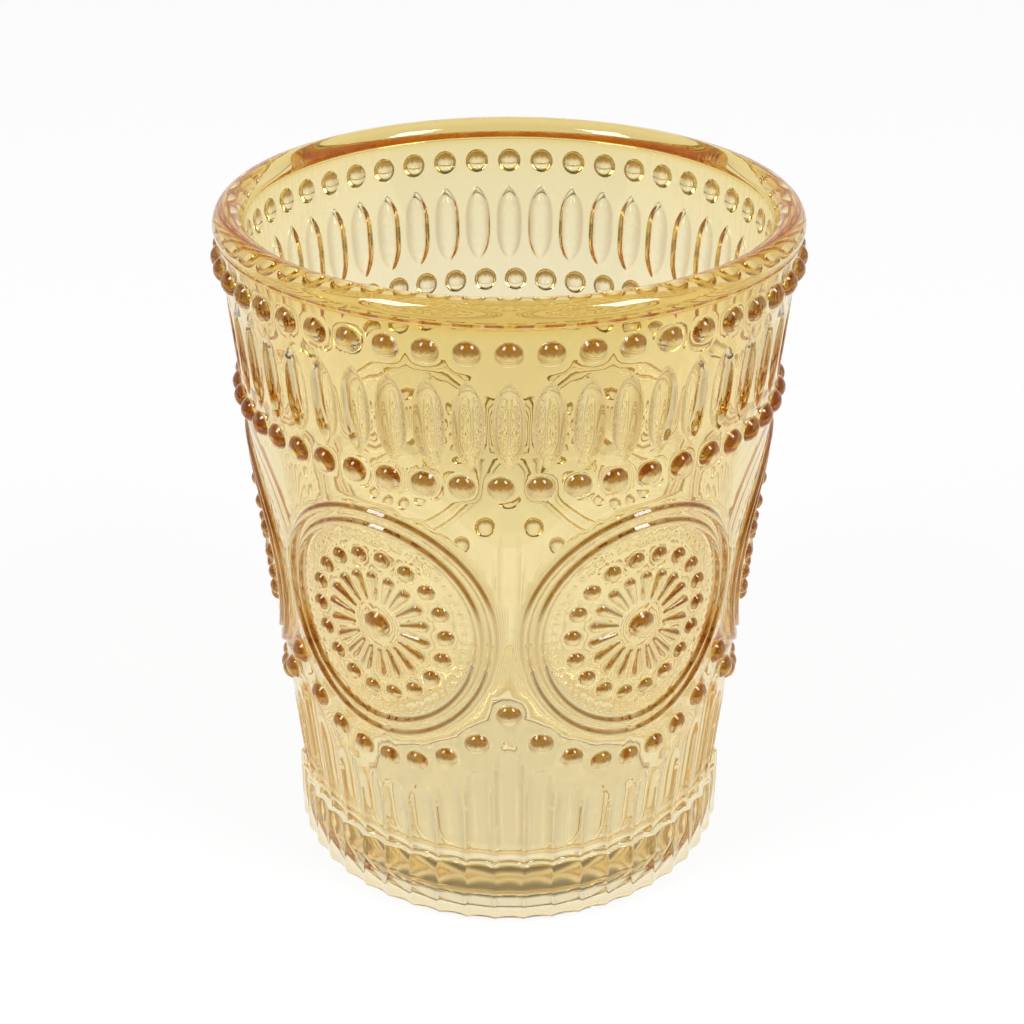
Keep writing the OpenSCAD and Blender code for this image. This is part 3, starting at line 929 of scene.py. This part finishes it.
def floor_material(name, look):
    """A matt white floor that shows bright to the eye and keeps a soft shadow."""
    material = bpy.data.materials.new(name)
    material.use_nodes = True
    tree = material.node_tree
    shader = tree.nodes["Principled BSDF"]
    shader.inputs["Base Color"].default_value = (0.93, 0.93, 0.93, 1)
    shader.inputs["Roughness"].default_value = 0.8
    rays = tree.nodes.new("ShaderNodeLightPath")
    white = tree.nodes.new("ShaderNodeEmission")
    white.inputs["Strength"].default_value = look.floor_strength
    mix = tree.nodes.new("ShaderNodeMixShader")
    share = None
    # How much of the plain white each kind of ray sees
    for ray, glow in (
        ("Is Camera Ray", look.floor_glow),
        ("Is Glossy Ray", look.floor_glow_behind),
        ("Is Transmission Ray", look.floor_glow_behind),
    ):
        part = tree.nodes.new("ShaderNodeMath")
        part.operation = "MULTIPLY"
        part.inputs[1].default_value = glow
        tree.links.new(rays.outputs[ray], part.inputs[0])
        if share is None:
            share = part.outputs[0]
            continue
        largest = tree.nodes.new("ShaderNodeMath")
        largest.operation = "MAXIMUM"
        tree.links.new(share, largest.inputs[0])
        tree.links.new(part.outputs[0], largest.inputs[1])
        share = largest.outputs[0]
    tree.links.new(share, mix.inputs["Fac"])
    tree.links.new(shader.outputs[0], mix.inputs[1])
    tree.links.new(white.outputs[0], mix.inputs[2])
    tree.links.new(mix.outputs[0], tree.nodes["Material Output"].inputs["Surface"])
    return material


def room_world(look):
    """A white wall that is darker overhead, towards the viewer and under the table."""
    world = bpy.data.worlds.new("white_room")
    world.use_nodes = True
    tree = world.node_tree
    background = tree.nodes["Background"]
    background.inputs["Color"].default_value = (1, 1, 1, 1)
    coordinates = tree.nodes.new("ShaderNodeTexCoord")
    parts = tree.nodes.new("ShaderNodeSeparateXYZ")
    tree.links.new(coordinates.outputs["Generated"], parts.inputs[0])
    level = None
    # Each fade has its axis, the directions where it starts and ends, and the light there
    for axis, ends, shares in (
        ("Z", (0.15, 0.75), (look.sky, look.sky * look.sky_top)),
        ("Y", (-0.8, 0.2), (look.sky_front, 1)),
        ("Z", (-0.1, -0.03), (look.sky_low, 1)),
    ):
        fade = tree.nodes.new("ShaderNodeMapRange")
        fade.interpolation_type = "SMOOTHSTEP"
        fade.inputs["From Min"].default_value, fade.inputs["From Max"].default_value = ends
        fade.inputs["To Min"].default_value, fade.inputs["To Max"].default_value = shares
        tree.links.new(parts.outputs[axis], fade.inputs["Value"])
        if level is None:
            level = fade.outputs["Result"]
            continue
        product = tree.nodes.new("ShaderNodeMath")
        product.operation = "MULTIPLY"
        tree.links.new(level, product.inputs[0])
        tree.links.new(fade.outputs["Result"], product.inputs[1])
        level = product.outputs[0]
    rays = tree.nodes.new("ShaderNodeLightPath")
    brightest = tree.nodes.new("ShaderNodeMath")
    brightest.operation = "MAXIMUM"
    tree.links.new(level, brightest.inputs[0])
    tree.links.new(rays.outputs["Is Camera Ray"], brightest.inputs[1])
    tree.links.new(brightest.outputs[0], background.inputs["Strength"])
    return world


class TUMBLER_OT_stage(bpy.types.Operator):
    """Set the pale floor, the white room, the soft lamps and the camera"""

    bl_idname = "tumbler.stage"
    bl_label = "Studio stage"

    def execute(self, context):
        scene = context.scene
        look = scene.tumbler_look
        bpy.ops.mesh.primitive_plane_add(size=1, location=FLOOR_CENTRE)
        floor = context.object
        floor.scale = (*FLOOR_SIZE, 1)
        floor.name = "floor"
        floor.data.materials.append(floor_material("white_floor", look))
        scene.world = room_world(look)
        for name, place in LAMP_PLACES.items():
            soft_lamp(scene, name, place, LAMP_SIZE, look.lamp_power, LAMP_TARGET)
        camera_data = bpy.data.cameras.new("camera")
        camera = bpy.data.objects.new("camera", camera_data)
        camera_data.sensor_width = SENSOR_WIDTH
        camera_data.lens = SENSOR_WIDTH * FOCAL_PIXELS / FRAME_PIXELS
        camera_data.shift_x, camera_data.shift_y = (s / FRAME_PIXELS for s in SHIFT_PIXELS)
        camera_data.clip_start = 0.01
        back, up = CAMERA_DISTANCE * math.cos(CAMERA_PITCH), CAMERA_DISTANCE * math.sin(CAMERA_PITCH)
        camera.location = (0, -back, CAMERA_AIM_Z + up)
        camera.rotation_euler = (math.pi / 2 - CAMERA_PITCH, 0, 0)
        scene.collection.objects.link(camera)
        scene.camera = camera
        scene.view_settings.view_transform = "Standard"
        scene.cycles.max_bounces = LIGHT_BOUNCES
        scene.cycles.transmission_bounces = LIGHT_BOUNCES
        scene.cycles.glossy_bounces = LIGHT_BOUNCES
        return {"FINISHED"}


class TUMBLER_PT_panel(bpy.types.Panel):
    """Lists the tumbler's steps and sizes"""

    bl_idname = "TUMBLER_PT_panel"
    bl_label = "Tumbler"
    bl_space_type = "VIEW_3D"
    bl_region_type = "UI"
    bl_category = "Tumbler"

    def draw(self, context):
        layout = self.layout
        scene = context.scene
        for operator in (TUMBLER_OT_glass, TUMBLER_OT_stage):
            layout.operator(operator.bl_idname)
        for group in (scene.tumbler_cup, scene.tumbler_pattern, scene.tumbler_look):
            box = layout.box()
            for key in type(group).__annotations__:
                box.prop(group, key)


CLASSES = (
    TumblerCupSizes,
    TumblerPatternSizes,
    TumblerLook,
    TUMBLER_OT_glass,
    TUMBLER_OT_stage,
    TUMBLER_PT_panel,
)


def register():
    for cls in CLASSES:
        bpy.utils.register_class(cls)
    bpy.types.Scene.tumbler_cup = PointerProperty(type=TumblerCupSizes)
    bpy.types.Scene.tumbler_pattern = PointerProperty(type=TumblerPatternSizes)
    bpy.types.Scene.tumbler_look = PointerProperty(type=TumblerLook)


def unregister():
    del bpy.types.Scene.tumbler_cup
    del bpy.types.Scene.tumbler_pattern
    del bpy.types.Scene.tumbler_look
    for cls in reversed(CLASSES):
        bpy.utils.unregister_class(cls)


def main():
    register()
    bpy.ops.tumbler.glass()
    bpy.ops.tumbler.stage()


if __name__ == "__main__":
    main()
